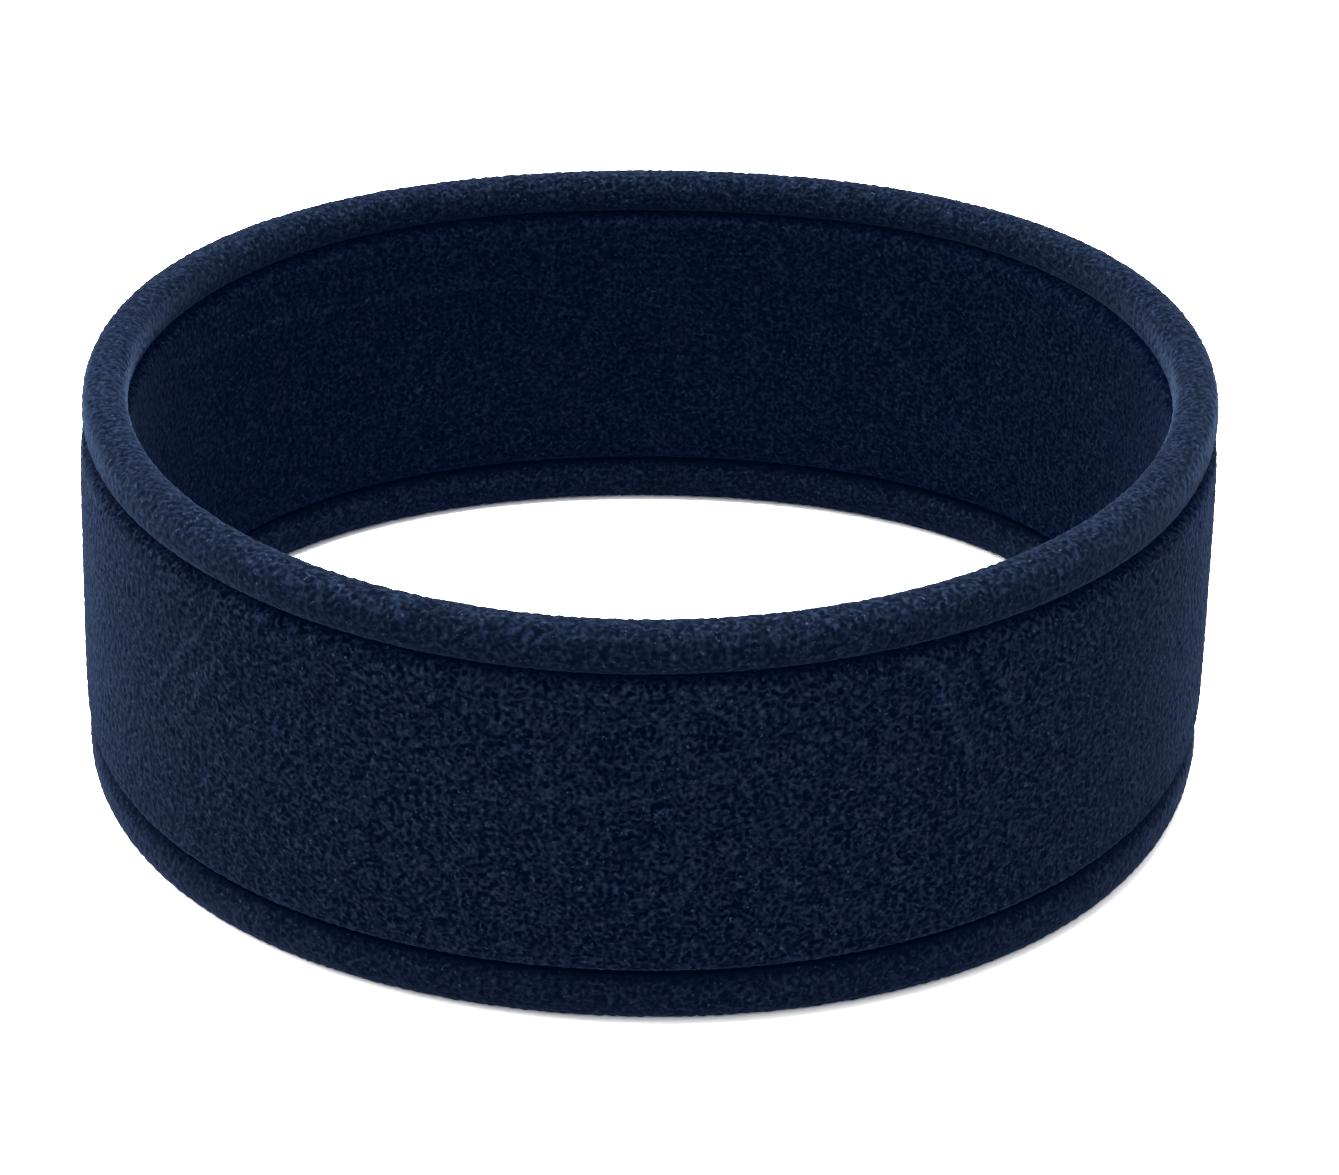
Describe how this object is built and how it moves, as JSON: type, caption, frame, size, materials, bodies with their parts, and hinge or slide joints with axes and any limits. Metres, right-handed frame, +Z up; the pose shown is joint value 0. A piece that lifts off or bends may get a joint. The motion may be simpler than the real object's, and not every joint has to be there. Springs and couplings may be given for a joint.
{
  "type": "ear warmer headband",
  "caption": "Closed loop of thick plush fleece with a soft rolled hem along each edge, worn round the head to keep the ears and forehead warm.",
  "frame": {"origin": "under the middle of the loop, on the surface that its lower edge stands on", "axes": "+Z up through the head opening, +X along the loop's long way, the front faces -Y"},
  "size_m": [0.1864, 0.174, 0.0689],
  "materials": {
    "navy_fleece": "matt brushed fleece, short dense curls"
  },
  "bodies": {
    "root": {"band_panel": "navy_fleece", "top_hem": "navy_fleece", "bottom_hem": "navy_fleece"}
  },
  "joints": []
}
